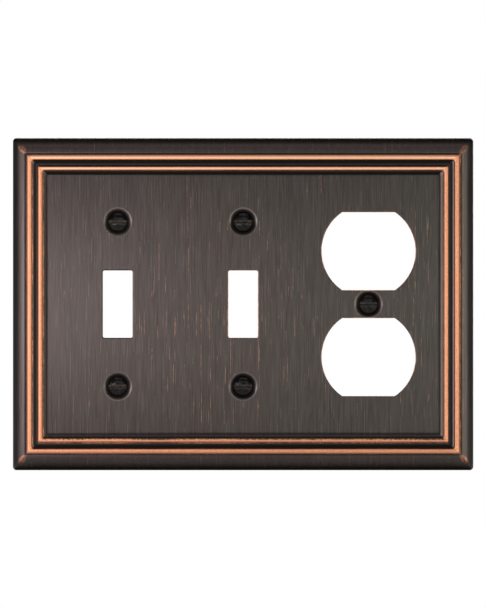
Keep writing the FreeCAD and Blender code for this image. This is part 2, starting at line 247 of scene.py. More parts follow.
class Shape:
    """Points, faces and, for each point, how worn, dark, rough-cast or pale the metal is. In places
    the wear and the paleness are painted highlights and the darkness is painted shade.
    """

    MARKS = ("wear", "dark", "cast", "pale")

    def __init__(self):
        self.points, self.faces, self.marks = [], [], []
        self.mouldings = 0

    def point(self, x, z, height, wear=0.0, dark=0.0, cast=0.0, pale=0.0):
        self.points.append((x * MM, -height * MM, z * MM))
        self.marks.append((wear, dark, cast, pale))
        return len(self.points) - 1

    def row(self, outline, height, **marks):
        return [self.point(x, z, height, **marks) for x, z in outline]

    def bridge(self, a, b):
        """Faces between two closed rows with the same number of points."""
        count = len(a)
        for i in range(count):
            j = (i + 1) % count
            self.faces.append((a[i], a[j], b[j], b[i]))

    def zip_rows(self, a, b):
        """Faces between two closed rows that follow the same outline with different points."""
        flat = [Vector((p[0], p[2])) for p in self.points]
        _, m, n = min(((flat[i] - flat[j]).length, m, n)
                      for m, i in enumerate(a) for n, j in enumerate(b))
        a, b = a[m:] + a[:m], b[n:] + b[:n]
        a, b = a + a[:1], b + b[:1]
        i = j = 0
        along_a = along_b = 0.0
        while i < len(a) - 1 or j < len(b) - 1:
            next_a = along_a + (flat[a[i + 1]] - flat[a[i]]).length if i < len(a) - 1 else 1e9
            next_b = along_b + (flat[b[j + 1]] - flat[b[j]]).length if j < len(b) - 1 else 1e9
            if abs(next_a - next_b) < SAME_PLACE:
                self.faces.append((a[i], a[i + 1], b[j + 1], b[j]))
                i, j, along_a, along_b = i + 1, j + 1, next_a, next_b
            elif next_a < next_b:
                self.faces.append((a[i], a[i + 1], b[j]))
                i, along_a = i + 1, next_a
            else:
                self.faces.append((a[i], b[j + 1], b[j]))
                j, along_b = j + 1, next_b

    def sheet(self, closed, lines, spots, inside, surface):
        """A triangle mesh over closed outlines, lines and spots; surface gives height and marks."""
        places, edges = [], []
        for outline, is_closed in [(c, True) for c in closed] + [(l, False) for l in lines]:
            start = len(places)
            places += [Vector(p) for p in outline]
            edges += [(start + i, start + i + 1) for i in range(len(outline) - 1)]
            if is_closed:
                edges.append((len(places) - 1, start))
        places += [Vector(p) for p in spots]
        found, _, triangles, *_ = delaunay_2d_cdt(places, edges, [], 0, 1e-4)
        kept = []
        for triangle in triangles:
            x = sum(found[i].x for i in triangle) / 3
            z = sum(found[i].y for i in triangle) / 3
            if inside(x, z):
                kept.append(triangle)
        index = {}
        for i in sorted({i for triangle in kept for i in triangle}):
            height, marks = surface(found[i].x, found[i].y)
            index[i] = self.point(found[i].x, found[i].y, height, **marks)
        faces = [tuple(index[i] for i in triangle) for triangle in kept]
        self.faces += faces
        return rims(faces)

    def make(self, name, materials, sharp=32):
        """The finished piece. The faces of the mouldings come first and have the last material."""
        mesh = bpy.data.meshes.new(name)
        mesh.from_pydata(self.points, [], self.faces)
        for material in materials:
            mesh.materials.append(material)
        for face in mesh.polygons[:self.mouldings]:
            face.material_index = len(materials) - 1
        for column, mark in enumerate(self.MARKS):
            layer = mesh.attributes.new(mark, "FLOAT", "POINT")
            layer.data.foreach_set("value", [marks[column] for marks in self.marks])
        solid = bmesh.new()
        solid.from_mesh(mesh)
        bmesh.ops.remove_doubles(solid, verts=solid.verts, dist=SAME_PLACE)
        bmesh.ops.dissolve_degenerate(solid, edges=solid.edges, dist=1e-7)
        bmesh.ops.recalc_face_normals(solid, faces=solid.faces)
        solid.to_mesh(mesh)
        solid.free()
        mesh.shade_smooth()
        mesh.set_sharp_from_angle(angle=math.radians(sharp))
        piece = bpy.data.objects.new(name, mesh)
        bpy.context.scene.collection.objects.link(piece)
        return piece


def rims(faces):
    """The closed rows of points along the open edges of some faces."""
    sides = {(a, b) for face in faces for a, b in zip(face, face[1:] + face[:1])}
    after = {a: b for a, b in sides if (b, a) not in sides}
    rows = []
    while after:
        at, row = min(after), []
        while at in after:
            row.append(at)
            at = after.pop(at)
        rows.append(row)
    return rows


# ---------------------------------------------------------------- the plate


def band_insets(height):
    """How far in from the sides and from the ends the quarter-round reaches a height."""
    insets = []
    for band in (SIDE_BAND, END_BAND):
        rise = BAND_HEIGHT - EDGE_HEIGHT
        radius = (band**2 + rise**2) / (2 * rise)
        drop = height - BAND_HEIGHT + radius
        insets.append(band - math.sqrt(max(0.0, radius**2 - drop**2)))
    return insets


def bead_rows(bead, degrees, corners, outer_wear, inner_wear):
    """Rows over a bead. It is worn between two heights above its centre, which differ by side."""
    centre, foot, radius = bead
    low, high, reach = corners
    rows = []
    for angle in degrees:
        turn = math.radians(angle)
        across, up = radius * math.cos(turn), radius * math.sin(turn)
        wear = smooth(up, *(outer_wear if across < 0 else inner_wear))
        corner = low + (high - low) * smooth(across, -0.4, reach)
        rows.append((centre + across, foot + up, corner, wear, 0.6 * (1 - wear)))
    return rows


def moulding_rows():
    """The profile from the wall plane inwards: side inset, end inset, height, corner, marks."""
    rows = [
        (0.25, 0.25, 0.0, 1.1, 0, 0.3),
        (0.06, 0.06, 0.06, 1.26, 0, 0.3),
        (0.0, 0.0, 0.25, EDGE_RADIUS, 0, 0.3),
        (0.0, 0.0, EDGE_HEIGHT, EDGE_RADIUS, 0, 0.25),
    ]
    band_steps = 12
    for i in range(1, band_steps + 1):
        turn = math.pi / 2 * i / (band_steps + 0.6)
        height = EDGE_HEIGHT + (BAND_HEIGHT - EDGE_HEIGHT) * math.sin(turn)
        side, end = band_insets(height)
        rows.append((side, end, height, max(0.2, EDGE_RADIUS - side), 0, 0))
    inwards = [
        *QUIRK,
        *bead_rows(BEAD, (180, 165, 148, 130, 112, 95, 78, 60, 42, 25, 10),
                   (0.2, 1.0, 0.9), (-0.2, 0.5), (0.05, 0.5)),
        *SHELF,
        *bead_rows(INNER_BEAD, (170, 155, 138, 120, 103, 86, 68, 50, 32, 16),
                   (0.4, 0.9, 0.8), (0.12, 0.5), (-0.1, 0.3)),
        *SLOPE,
    ]
    for inset, height, corner, wear, dark in inwards:
        rows.append((SIDE_BAND + inset, END_BAND + inset, height, corner, wear, dark))
    return rows


def window(value, low, high, soft=0.25):
    """1 from low to high and 0 beyond them, with soft ends."""
    return smooth(value, low - soft, low) * (1 - smooth(value, high, high + soft))


def rubbing_and_painted_light(x, z, side, wear, dark):
    """The wear, darkness and paleness of a point on the mouldings.

    The top and bottom keep their copper on the beads alone, the left side has it down both
    beads' inner slopes too, and on the right those slopes are painted paler, a painted highlight
    where they face the lamps on the left. The top beads' copper is painted brighter and the inner
    bead's copper is moved downward on the top and bottom, both painted highlights, and the sides
    are darkened near the outer edge, painted shade."""
    # insets are millimetres inside the band: the quirk ends at 0.5 and the shelf is from 2.5 to 4.5
    inset = side - SIDE_BAND
    on_end = HALF_Z - abs(z) - END_BAND < HALF_X - abs(x) - SIDE_BAND - 0.3
    if on_end:
        behind = smooth(inset, 2.07, 2.47) if inset < 4 else smooth(inset, 6.1, 6.5)
        dark += 0.7 * window(inset, 2.6, 3.2)
        if z > 0:
            # on the top the beads' wear goes past 1, which paints them in a brighter copper: a
            # painted highlight from the lamps above
            worn_and_highlight = 1 - 0.9 * behind + (0.35 if inset < 6 else 0.0)
            worn_and_highlight *= 0.45 if inset < 0.51 else 1.0
            # on the top the inner bead's copper stops short of its upper flank: with the copper
            # added on the bottom, this moves the bright copper downward as a painted highlight
            worn_and_highlight *= smooth(inset, 4.85, 5.25) if inset > 4 else 1.0
            return wear * worn_and_highlight, dark + 0.7 * window(inset, 6.7, 7.7), 0.0
        # copper down the bottom inner bead's lower flank: a painted highlight where the low lamp
        # falls
        wear = max(wear, 0.65 * window(inset, 4.35, 4.75))
        return wear * (1 - 0.9 * behind) * (1 - 0.4 * smooth(inset, 5.2, 5.7)), dark, 0.0
    # darker near the outer edge of the side bands: painted shade on the slope that faces outwards
    dark += 0.25 * (1 - smooth(side, 1.5, 2.3))
    if x < 0:
        return wear * (0.8 if inset < 0.8 else 1.0), dark, 0.0
    behind = 0.4 * smooth(inset, 2.2, 2.6) if inset < 4 else 0.1 * smooth(inset, 6.3, 6.7)
    wear = max(wear * (1.2 if inset < 0.6 else 1.0), 0.42 * window(inset, -1.0, 0.3))
    # the paler inner slopes on the right are a painted highlight where they face the lamps on the
    # left
    pale = max(0.35 * window(inset, 2.4, 2.8), 0.7 * window(inset, 6.7, 7.1, 0.5))
    return wear * (1 - behind), dark, pale


def dish(x, z):
    """How far the dished recess round a screw lowers the panel."""
    away = screw_distance(x, z)
    return (PANEL_FRONT - SEAT_HEIGHT) * (1 - smooth(away, SEAT_RADIUS, DISH_RADIUS))


def panel_surface(x, z):
    """The height and marks of a point on the panel."""
    edge, away = opening_distance(x, z), screw_distance(x, z)
    inside = max(0.0, EDGE_ROUNDING - max(edge, 0.0))
    drop = EDGE_ROUNDING - math.sqrt(max(0.0, EDGE_ROUNDING**2 - inside**2))
    wear = (0.3 if x < -GANG / 2 else 0.62) * (1 - smooth(edge, 0.15, 0.55))
    wear = max(wear, 0.25 * (1 - smooth(abs(away - DISH_RADIUS), 0.1, 0.5)))
    # the dark ring round each screw, out to 4.8 mm from its axis, is painted shade in the recess
    # round the head
    dark = max(1 - smooth(away, 4.0, 4.8), 0.5 * (1 - smooth(edge, 0.0, 0.3)))
    # the pale ring on each dish's lip is partly rubbed paler metal and partly a painted highlight
    # where the lip catches the lamps
    pale = 0.3 * (1 - smooth(abs(away - 5.0), 0.08, 0.4))
    return PANEL_FRONT - dish(x, z) - drop, {"wear": wear, "dark": dark, "pale": pale}


def ledge(distance, low, high, slope=0.35):
    """A step from low to high that starts where distance is 0."""
    return low + (high - low) * smooth(distance, 0, slope)


def back_surface(x, z):
    """The height and marks of a point on the hollow back."""
    side, end = HALF_X - abs(x), HALF_Z - abs(z)
    inset = min(side, end)
    wider = END_BAND - SIDE_BAND
    ring = min(side, end - wider)
    height = ledge(inset - RIM, 0, PANEL_BACK)
    if height > PANEL_BACK - 0.01:
        rise = min(smooth(ring - CHANNEL_INSET, 0, 0.5),
                   1 - smooth(ring - CHANNEL_INSET - CHANNEL_WIDTH, -0.5, 0))
        height += (CHANNEL_HEIGHT - PANEL_BACK) * rise
    for distance in (abs(abs(x) - RIB_X), abs(abs(z) - RIB_Z)):
        height = min(height, ledge(distance - RIB_HALF, RIB_BACK, CHANNEL_HEIGHT))
    height = min(height, ledge(screw_distance(x, z) - BOSS_RADIUS, BOSS_BACK, CHANNEL_HEIGHT))
    edge = opening_distance(x, z)
    height += 0.12 * (1 - smooth(edge, 0, 0.2))
    return height, {"cast": smooth(inset, 0.1, 0.5), "dark": 0.25}


def grid(step, half_x, half_z):
    """Spots step apart, with every other row moved along a little."""
    spots = []
    for i in range(-int(half_x / step), int(half_x / step) + 1):
        for j in range(-int(half_z / step), int(half_z / step) + 1):
            spots.append((i * step + 0.13 * (j % 2), j * step))
    return spots


def add_mouldings(shape):
    """The faces from the wall plane to the panel; returns their outlines there and inset."""
    previous = wall_outline = None
    for side, end, height, corner, wear, dark in moulding_rows():
        outline = rounded_box(HALF_X - side, HALF_Z - end, corner)
        row = []
        for x, z in outline:
            worn_and_highlight, darkened, pale = rubbing_and_painted_light(x, z, side, wear, dark)
            row.append(shape.point(x, z, height, worn_and_highlight, darkened, 0.0, pale))
        if previous:
            shape.bridge(previous, row)
        else:
            wall_outline = outline
        previous = row
    shape.mouldings = len(shape.faces)
    return wall_outline, outline, (side, end)


def add_panel(shape, outline, inset):
    """The front of the panel, with its dishes and opening edges; returns its rims."""
    half_x, half_z = HALF_X - inset[0], HALF_Z - inset[1]
    seats = [circle(x, z, SEAT_RADIUS) for x, z in CENTRES.values()]
    rings = [
        circle(x, z, radius)
        for x, z in CENTRES.values()
        for radius in (4.0, 4.2, 4.4, 4.6, 4.8, 4.95, 5.08, DISH_RADIUS, 5.45, 5.8)
    ]
    lips = [line for grow in (0.06, 0.15, 0.3, 0.6) for line in opening_outlines(grow)]
    clear = [p for p in grid(4.0, half_x - 1, half_z - 1)
             if opening_distance(*p) > 1.5 and screw_distance(*p) > 7]

    def on_panel(x, z):
        return (abs(x) < half_x and abs(z) < half_z and opening_distance(x, z) > -1e-3
                and screw_distance(x, z) > SEAT_RADIUS - 0.01)

    return shape.sheet([outline, *opening_outlines(), *seats, *rings, *lips], [], clear,
                       on_panel, panel_surface)


def add_back(shape, outline):
    """The hollow back, with rows of points along each step in it; returns its rims."""
    holes = [circle(x, z, HOLE_RADIUS) for x, z in CENTRES.values()]
    steps = []
    for offset in (0.0, 0.12, 0.24, 0.36):
        inset = RIM + offset
        steps.append(rounded_box(HALF_X - inset, HALF_Z - inset, 0.3))
    wider = END_BAND - SIDE_BAND
    for offset in (0.0, 0.16, 0.34, 0.5):
        for inset, corner in ((CHANNEL_INSET + offset, 0.4),
                              (CHANNEL_INSET + CHANNEL_WIDTH - offset, 0.3)):
            steps.append(rounded_box(HALF_X - inset, HALF_Z - wider - inset, corner))
    for offset in (0.0, 0.12, 0.24, 0.36):
        steps += [circle(x, z, BOSS_RADIUS + offset) for x, z in CENTRES.values()]
    steps += opening_outlines(0.2)
    ribs = []
    reach_x, reach_z = HALF_X - RIM - 0.05, HALF_Z - RIM - 0.05
    for side in (-1, 1):
        for offset in (-1.11, -0.99, -0.87, -RIB_HALF, RIB_HALF, 0.87, 0.99, 1.11):
            x, z = side * RIB_X + offset, side * RIB_Z + offset
            ribs.append([(x, -reach_z), *between((x, -reach_z), (x, reach_z), 30), (x, reach_z)])
            ribs.append([(-reach_x, z), *between((-reach_x, z), (reach_x, z), 40), (reach_x, z)])
    clear = [p for p in grid(4.5, HALF_X - 12, HALF_Z - 12)
             if opening_distance(*p) > 1 and screw_distance(*p) > 6]

    def on_back(x, z):
        return opening_distance(x, z) > -1e-3 and screw_distance(x, z) > HOLE_RADIUS - 0.01

    return shape.sheet([outline, *opening_outlines(), *holes, *steps], ribs, clear,
                       on_back, back_surface)


def rim_round(shape, rows, x, z):
    """The one of some rims that goes round an opening at x, z."""
    def off(row):
        px = sum(shape.points[i][0] for i in row) / len(row) / MM
        pz = sum(shape.points[i][2] for i in row) / len(row) / MM
        return math.hypot(px - x, pz - z)

    outline_of_plate = 200
    return min((row for row in rows if len(row) < outline_of_plate), key=off)


def add_seats(shape):
    """Each screw's countersunk seat and hole, from the dish to the boss."""
    # the seat and the hole are marked fully dark: painted shade in the recess under the head
    profile = (
        (SEAT_RADIUS, SEAT_HEIGHT, 1),
        (SEAT_RADIUS - 0.06, SEAT_HEIGHT - 0.05, 1),
        (HOLE_RADIUS + 0.05, HOLE_HEIGHT + 0.03, 1),
        (HOLE_RADIUS, HOLE_HEIGHT - 0.03, 1),
        (HOLE_RADIUS, BOSS_BACK, 0.5),
    )
    for x, z in CENTRES.values():
        rows = [shape.row(circle(x, z, radius), height, dark=dark)
                for radius, height, dark in profile]
        for a, b in zip(rows, rows[1:]):
            shape.bridge(a, b)


def build_plate(materials):
    """The whole plate. Its materials are the panel's and the mouldings'."""
    shape = Shape()
    wall_outline, panel_outline, inset = add_mouldings(shape)
    front = add_panel(shape, panel_outline, inset)
    back = add_back(shape, wall_outline)
    for x, z in ((-GANG, 0), (0, 0), (GANG, DUPLEX_Z), (GANG, -DUPLEX_Z)):
        shape.zip_rows(rim_round(shape, front, x, z), rim_round(shape, back, x, z))
    add_seats(shape)
    plate = shape.make("cast_plate", materials)
    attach(plate, "plate")
    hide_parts("wall_plate")


# ---------------------------------------------------------------- the screws


def dome(radius):
    """The height of the oval head, whose rim is eased."""
    ball = (HEAD_RADIUS**2 + DOME**2) / (2 * DOME)
    height = HEAD_RIM + HEAD_LAND + math.sqrt(ball**2 - radius**2) - (ball - DOME)
    return height - 0.12 * smooth(radius, HEAD_RADIUS - 0.22, HEAD_RADIUS)


def slot_height(z):
    """The slot's floor, with its corners filled a little."""
    return SLOT_FLOOR + 0.05 * smooth(abs(z), SLOT_HALF - 0.18, SLOT_HALF)


def head_surface(x, z):
    """The height and marks of a point on the slotted head, with the slot's floor painted bright as
    a painted highlight and its walls painted dark as painted shade.
    """
    height = dome(min(math.hypot(x, z), HEAD_RADIUS))
    off = abs(z)
    if off < SLOT_HALF - SLOT_WALL:
        height = slot_height(z)
    elif off < SLOT_HALF + 0.12:
        height -= 0.09 * (1 - smooth(off, SLOT_HALF, SLOT_HALF + 0.12))
    # the slot's floor gets full wear: a painted highlight for the light the floor reflects
    if off < SLOT_HALF - 0.1:
        return height, {"wear": 1.0, "dark": 0.0}
    wear = 1 - smooth(abs(off - SLOT_HALF - 0.05), 0.02, 0.16)
    # the slot's walls are marked fully dark: painted shade inside the slot
    return height, {"wear": wear, "dark": 1.0 if off < SLOT_HALF + 0.02 else 0.0}


def cut_slot(x, z, height):
    """Lets the slot run out through the side of the head: lowers a point in it and pulls it in."""
    if abs(z) < SLOT_HALF - SLOT_WALL and height > SLOT_FLOOR - 1e-6:
        reach = HEAD_RADIUS - (HEAD_RIM - SLOT_FLOOR) * CONE
        radius = math.hypot(x, z)
        if radius > reach:
            x, z = x * reach / radius, z * reach / radius
        height = min(height, slot_height(z))
    return x, z, height


def head_angles(slot_lines):
    """Angles round the head, some of them where the lines of the slot meet its rim."""
    angles = {2 * math.pi * i / 56 for i in range(56)}
    for z in slot_lines:
        turn = math.asin(z / HEAD_RADIUS)
        angles |= {turn, math.pi - turn, math.pi + turn, 2 * math.pi - turn}
    angles = sorted(angles)
    spread = [angles[0]]
    for angle in angles[1:]:
        if angle - spread[-1] > 0.004:
            spread.append(angle)
    return spread


def add_head(shape, slot_lines, ring):
    """The top of the head, with points along the slot's edges."""
    cuts = []
    for z in slot_lines:
        half = math.sqrt(HEAD_RADIUS**2 - z**2)
        for side in (-1, 1):
            start, end = (-half, side * z), (half, side * z)
            cuts.append([start, *between(start, end, 16), end])
    spots = []
    for radius, count in ((0.9, 14), (1.5, 24), (2.1, 30), (2.7, 36), (3.1, 44), (3.3, 56)):
        spots += [p for p in circle(0, 0, radius, count) if abs(p[1]) > SLOT_HALF + 0.2]
    shape.sheet([ring(HEAD_RADIUS)], cuts, spots, lambda x, z: True, head_surface)
    for i, (x, y, z) in enumerate(shape.points):
        x, z, height = cut_slot(x / MM, z / MM, -y / MM)
        shape.points[i] = (x * MM, -height * MM, z * MM)


def add_shank(shape, ring):
    """The rim of the head, the cone under it and the neck."""
    profile = [(HEAD_RADIUS, dome(HEAD_RADIUS), 0.0), (HEAD_RADIUS, HEAD_RIM + 0.03, 0.0)]
    for share in (0.02, 0.09, 0.4, 0.97):
        drop = (HEAD_RADIUS - NECK_RADIUS) * share
        profile.append((HEAD_RADIUS - drop, HEAD_RIM - drop / CONE, 0.5))
    profile += [(NECK_RADIUS, NECK_FRONT - 0.06, 0.0), (NECK_RADIUS, THREAD_FRONT, 0.0)]
    rows = []
    for radius, height, dark in profile:
        rows.append([shape.point(*cut_slot(x, z, height), dark=dark) for x, z in ring(radius)])
    for a, b in zip(rows, rows[1:]):
        shape.bridge(a, b)


def thread_radius(turn):
    """The 60-degree thread's radius, for a place from 0 to 1 across one pitch."""
    off = abs(turn - 0.5) * 2
    depth = smooth(off, 0.13, 0.8) * 0.4 + 0.6 * min(1, max(0, (off - 0.13) / 0.67))
    return THREAD_RADIUS - (THREAD_RADIUS - THREAD_ROOT) * depth


def add_thread(shape, angles, ring):
    """The thread from the neck to the flat tip. Its helix has the left hand."""
    length, per_pitch = THREAD_FRONT - TIP, 8
    count = int(per_pitch * (length / PITCH + 1)) + 2
    helix = []
    for i in range(count + 1):
        row = []
        for angle in angles:
            down = PITCH * (i / per_pitch + angle / (2 * math.pi) - 1)
            height = THREAD_FRONT - min(length, max(0.0, down))
            chamfer = THREAD_RADIUS - TIP_CHAMFER + height - TIP
            radius = min(thread_radius(i / per_pitch % 1), chamfer)
            radius = NECK_RADIUS + (radius - NECK_RADIUS) * smooth(THREAD_FRONT - height, 0, 0.5)
            row.append(shape.point(*radius_point(radius, angle), height, dark=0.4))
        helix.append(row)
    for i in range(count):
        for j in range(len(angles) - 1):
            shape.faces.append((helix[i][j], helix[i][j + 1], helix[i + 1][j + 1], helix[i + 1][j]))
        # past the last angle the helix goes on at the first one, a whole pitch of rows further on
        if i < count - per_pitch:
            k = i + per_pitch
            shape.faces.append((helix[i][-1], helix[k][0], helix[k + 1][0], helix[i + 1][-1]))
    tip = shape.row(ring(THREAD_RADIUS - TIP_CHAMFER), TIP, dark=0.4)
    crown = shape.row(ring(0.5), TIP, dark=0.4)
    shape.bridge(tip, crown)
    shape.faces.append(tuple(crown))


def build_screw(name, material):
    """A screw, made round the origin and then moved to its place."""
    shape = Shape()
    slot_lines = [SLOT_HALF + offset for offset in (-0.18, -0.02, 0.0, 0.04, 0.12)]
    angles = head_angles(slot_lines)

    def ring(radius):
        return [radius_point(radius, angle) for angle in angles]

    add_head(shape, slot_lines, ring)
    add_shank(shape, ring)
    add_thread(shape, angles, ring)
    cx, cz = CENTRES[name]
    shape.points = [(x + cx * MM, y, z + cz * MM) for x, y, z in shape.points]
    piece = shape.make(f"slotted_screw_{name}", [material], 30)
    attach(piece, f"screw_{name}")
    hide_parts(f"screw_{name}")


# ---------------------------------------------------------------- the washers


def build_washer(name, material, draw):
    """A die-cut fibre ring, a little out of round, with soft edges."""
    low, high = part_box(f"washer_{name}")
    front, back = -low.y / MM, -high.y / MM
    outer, inner = (high.x - low.x) / 2 / MM, WASHER_BORE
    cx, cz = CENTRES[name]
    shape = Shape()
    phases = [draw.uniform(0, 2 * math.pi) for _ in range(3)]

    def outline(radius, rough):
        points = []
        for x, z in circle(0, 0, 1, 64):
            angle = math.atan2(z, x)
            wave = sum(math.sin((2 + 3 * k) * angle + p) for k, p in enumerate(phases)) / 3
            reach = radius - rough * (1 + wave)
            points.append((cx + reach * x, cz + reach * z))
        return points

    # radius, how far out of round, height
    profile = [
        (inner + 0.04, 0.0, front), (inner, 0.0, front - 0.05),
        (inner, 0.0, back + 0.05), (inner + 0.04, 0.0, back),
        (2.6, 0.0, back), (3.2, 0.0, back + 0.01), (outer - 0.12, 0.01, back + 0.02),
        (outer - 0.03, 0.02, back + 0.08), (outer, 0.025, back + 0.16),
        (outer, 0.025, front - 0.1), (outer - 0.05, 0.02, front - 0.02),
        (3.2, 0.0, front), (2.6, 0.0, front),
    ]
    rows = []
    for radius, rough, height in profile:
        worn_and_highlight = 1.0 if radius > outer - 0.2 else 0.0
        rows.append(shape.row(outline(radius, rough), height, wear=worn_and_highlight))
    for a, b in zip(rows, rows[1:] + rows[:1]):
        shape.bridge(a, b)
    piece = shape.make(f"fibre_washer_{name}", [material], 40)
    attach(piece, f"washer_{name}")
    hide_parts(f"washer_{name}")


# ---------------------------------------------------------------- materials


class Nodes:
    """A short way to write a material's nodes."""

    def __init__(self, name):
        self.material = bpy.data.materials.new(name)
        self.material.use_nodes = True
        self.tree = self.material.node_tree
        self.tree.nodes.clear()

    def add(self, kind, inputs=None, **settings):
        node = self.tree.nodes.new("ShaderNode" + kind)
        for key, value in settings.items():
            setattr(node, key, value)
        for key, value in (inputs or {}).items():
            self.give(node.inputs[key], value)
        return node

    def give(self, socket, value):
        if isinstance(value, bpy.types.NodeSocket):
            self.tree.links.new(value, socket)
        elif isinstance(value, tuple) and len(value) == 3 and len(socket.default_value) == 4:
            socket.default_value = (*value, 1.0)
        else:
            socket.default_value = value

    def math(self, operation, *values):
        node = self.add("Math", operation=operation)
        for socket, value in zip(node.inputs, values):
            self.give(socket, value)
        return node.outputs[0]

    def step(self, value, low, high, to_low=0.0, to_high=1.0):
        """An S-curve from to_low at low to to_high at high."""
        node = self.add("MapRange", interpolation_type="SMOOTHSTEP")
        for socket, number in zip(node.inputs, (value, low, high, to_low, to_high)):
            self.give(socket, number)
        return node.outputs[0]

    def mix(self, share, a, b):
        node = self.add("Mix", data_type="RGBA")
        for socket, value in ((node.inputs[0], share), (node.inputs[6], a), (node.inputs[7], b)):
            self.give(socket, value)
        return node.outputs[2]

    def noise(self, place, scale, detail=2.0, roughness=0.5):
        """Noise in millimetres; scale is how many features a millimetre has along x, y and z."""
        stretched = self.add("VectorMath", {0: place, 1: scale}, operation="MULTIPLY").outputs[0]
        node = self.add("TexNoise", {"Vector": stretched, "Scale": 1.0, "Detail": detail,
                                     "Roughness": roughness})
        return node.outputs[0]

    def mark(self, name):
        return self.add("Attribute", attribute_name=name).outputs["Fac"]

    def place(self):
        """Where the point is on the object, in millimetres."""
        here = self.add("TexCoord").outputs["Object"]
        return self.add("VectorMath", {0: here, 3: 1 / MM}, operation="SCALE").outputs[0]

    def bump(self, height, millimetres, normal=None):
        inputs = {"Height": height, "Distance": millimetres * MM, "Strength": 1.0}
        if normal:
            inputs["Normal"] = normal
        return self.add("Bump", inputs).outputs[0]

    def finish(self, **inputs):
        shader = self.add("BsdfPrincipled", {k.replace("_", " "): v for k, v in inputs.items()})
        output = self.add("OutputMaterial")
        self.tree.links.new(shader.outputs[0], output.inputs[0])
        return self.material


def scratches(n, x, z, cell, mark, share):
    """Thin upright scratches: one to a cell, width by length, in a share of the cells."""
    (width, length), (wide, long) = cell, mark
    across = n.math("MULTIPLY", x, 1 / width)
    along = n.math("MULTIPLY", z, 1 / length)
    place = n.add("CombineXYZ", {0: across, 1: along}).outputs[0]
    cells = n.add("TexVoronoi", {"Vector": place, "Scale": 1.0, "Randomness": 1.0},
                  voronoi_dimensions="2D")
    centre = n.add("SeparateXYZ", {0: cells.outputs["Position"]})
    chance = n.add("SeparateXYZ", {0: cells.outputs["Color"]})
    from_x = n.math("ABSOLUTE", n.math("SUBTRACT", across, centre.outputs[0]))
    from_z = n.math("ABSOLUTE", n.math("SUBTRACT", along, centre.outputs[1]))
    reach = n.math("MULTIPLY", chance.outputs[1], long / length / 2)
    thin = n.step(from_x, wide / width / 2, wide / width / 5)
    ends = n.step(n.math("SUBTRACT", reach, from_z), 0.0, 0.06)
    there = n.step(n.math("SUBTRACT", share, chance.outputs[0]), 0.0, 0.08)
    return n.math("MULTIPLY", n.math("MULTIPLY", thin, ends), there)


def patch(n, x, z, centre_x, centre_z, half_x, half_z):
    """1 in the middle of an ellipse and 0 outside it."""
    dx = n.math("MULTIPLY", n.math("SUBTRACT", x, centre_x), 1 / half_x)
    dz = n.math("MULTIPLY", n.math("SUBTRACT", z, centre_z), 1 / half_z)
    square = n.math("ADD", n.math("MULTIPLY", dx, dx), n.math("MULTIPLY", dz, dz))
    return n.step(square, 1.0, 0.2)


COPPER = (0.86, 0.40, 0.235)
COPPER_HIGHLIGHT = (0.98, 0.53, 0.33)
DEEP_COPPER = (0.42, 0.17, 0.095)
COPPER_SMEAR_AND_HIGHLIGHT = (0.50, 0.20, 0.12)
BRONZE_LIGHT = (0.070, 0.058, 0.055)
BRONZE_DARK = (0.042, 0.034, 0.032)
PALE = (0.26, 0.22, 0.195)
PATINA_AND_SHADE = (0.010, 0.008, 0.007)
SAND_LIGHT = (0.105, 0.088, 0.078)
SAND_DARK = (0.050, 0.042, 0.038)
SAND_PIT = (0.030, 0.024, 0.022)

BLACKENED_LIGHT = (0.028, 0.026, 0.025)
BLACKENED_DARK = (0.012, 0.011, 0.0105)
BLACKENED_WORN_AND_HIGHLIGHT = (0.10, 0.085, 0.072)
BLACKENED_DEEP_AND_SHADE = (0.008, 0.007, 0.007)

FIBRE_LIGHT = (0.270, 0.165, 0.105)
FIBRE_DARK = (0.150, 0.085, 0.055)
FIBRE_STAIN = (0.095, 0.055, 0.040)
FIBRE_EDGE = (0.36, 0.26, 0.19)

FLOOR_LIGHT = (0.82, 0.82, 0.81)
FLOOR_DARK = (0.78, 0.78, 0.77)

# ellipses where the panel is scratched most: the centre's x and z, half the width and the height
SCRATCHED = ((-8.0, -4.0, 38.0, 46.0), (66.0, -4.0, 16.0, 50.0))
# where the panel's material ends, inside the sides and inside the ends
PANEL_EDGE = (12.0, 13.0)
# how much brighter the mouldings are painted than the panel: painted light
PAINTED_BAND_LIGHT = 1.3


def brushed_finish(n, x, z, streak):
    """The bronze finish and its brush marks. The mouldings are painted a little brighter than the
    panel: painted light, a lit copy of the same bronze.
    """
    metal = n.mix(n.step(streak, 0.25, 0.75), BRONZE_DARK, BRONZE_LIGHT)
    side, end = HALF_X - PANEL_EDGE[0], HALF_Z - PANEL_EDGE[1]
    on_panel = n.math("MULTIPLY", n.step(n.math("ABSOLUTE", x), side, side - 0.8),
                      n.step(n.math("ABSOLUTE", z), end, end - 0.8))
    brighter = n.mix(1.0, metal, (PAINTED_BAND_LIGHT, PAINTED_BAND_LIGHT, PAINTED_BAND_LIGHT))
    brighter.node.blend_type = "MULTIPLY"
    return n.mix(on_panel, brighter, metal)


def rubbed_through(n, wear, speck, cloud):
    """How far the finish is rubbed through to copper, in patches where the wear is light."""
    uneven = n.math("ADD", n.math("MULTIPLY", speck, 0.5), n.math("MULTIPLY", cloud, 0.5))
    uneven = n.math("MULTIPLY", n.math("SUBTRACT", uneven, 0.5), 0.9)
    patches = n.step(n.math("ADD", wear, uneven), 0.45, 0.8)
    return n.math("MAXIMUM", patches, n.math("MULTIPLY", n.math("SUBTRACT", wear, 0.3), 0.6))


